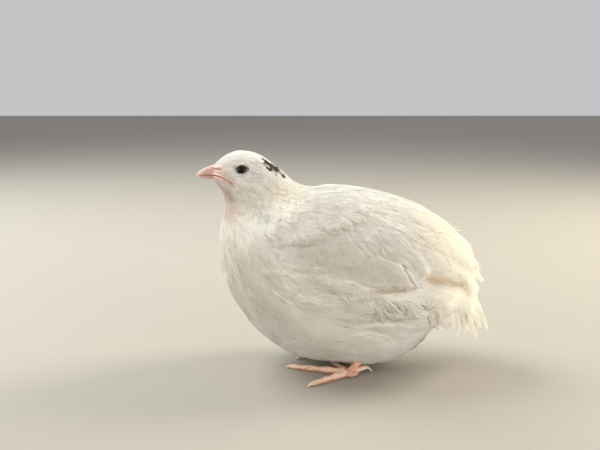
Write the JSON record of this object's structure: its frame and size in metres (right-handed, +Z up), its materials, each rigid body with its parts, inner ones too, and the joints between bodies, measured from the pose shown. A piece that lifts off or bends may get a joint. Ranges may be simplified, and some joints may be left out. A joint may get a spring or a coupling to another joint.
{
  "type": "white coturnix quail",
  "caption": "Life-size still model of a plump white coturnix quail, crouched on both feet with its neck drawn in and a dark spot behind the crown.",
  "frame": {"origin": "on the floor, under the middle of the bird's length and width", "axes": "the bird faces -X, its left side is -Y, and +Z is up"},
  "size_m": [0.17, 0.0946, 0.1259],
  "materials": {
    "plumage": "soft white feathers, cream on the neck's sides and the rump",
    "bill": "smooth pink horn, paler at its tip",
    "eye": "wet, almost black",
    "leg": "pinkish orange skin with scutes",
    "claw": "pale pinkish horn"
  },
  "bodies": {
    "root": {"head": "plumage", "neck": "plumage", "trunk": "plumage", "tail": "plumage", "wing_left": "plumage", "wing_right": "plumage", "bill_upper": "bill", "bill_lower": "bill", "eye_left": "eye", "eye_right": "eye", "shank_left": "leg", "toe_left_inner": "leg", "claw_left_inner": "claw", "toe_left_middle": "leg", "claw_left_middle": "claw", "toe_left_outer": "leg", "claw_left_outer": "claw", "toe_left_hind": "leg", "claw_left_hind": "claw", "shank_right": "leg", "toe_right_inner": "leg", "claw_right_inner": "claw", "toe_right_middle": "leg", "claw_right_middle": "claw", "toe_right_outer": "leg", "claw_right_outer": "claw", "toe_right_hind": "leg", "claw_right_hind": "claw"}
  },
  "joints": []
}
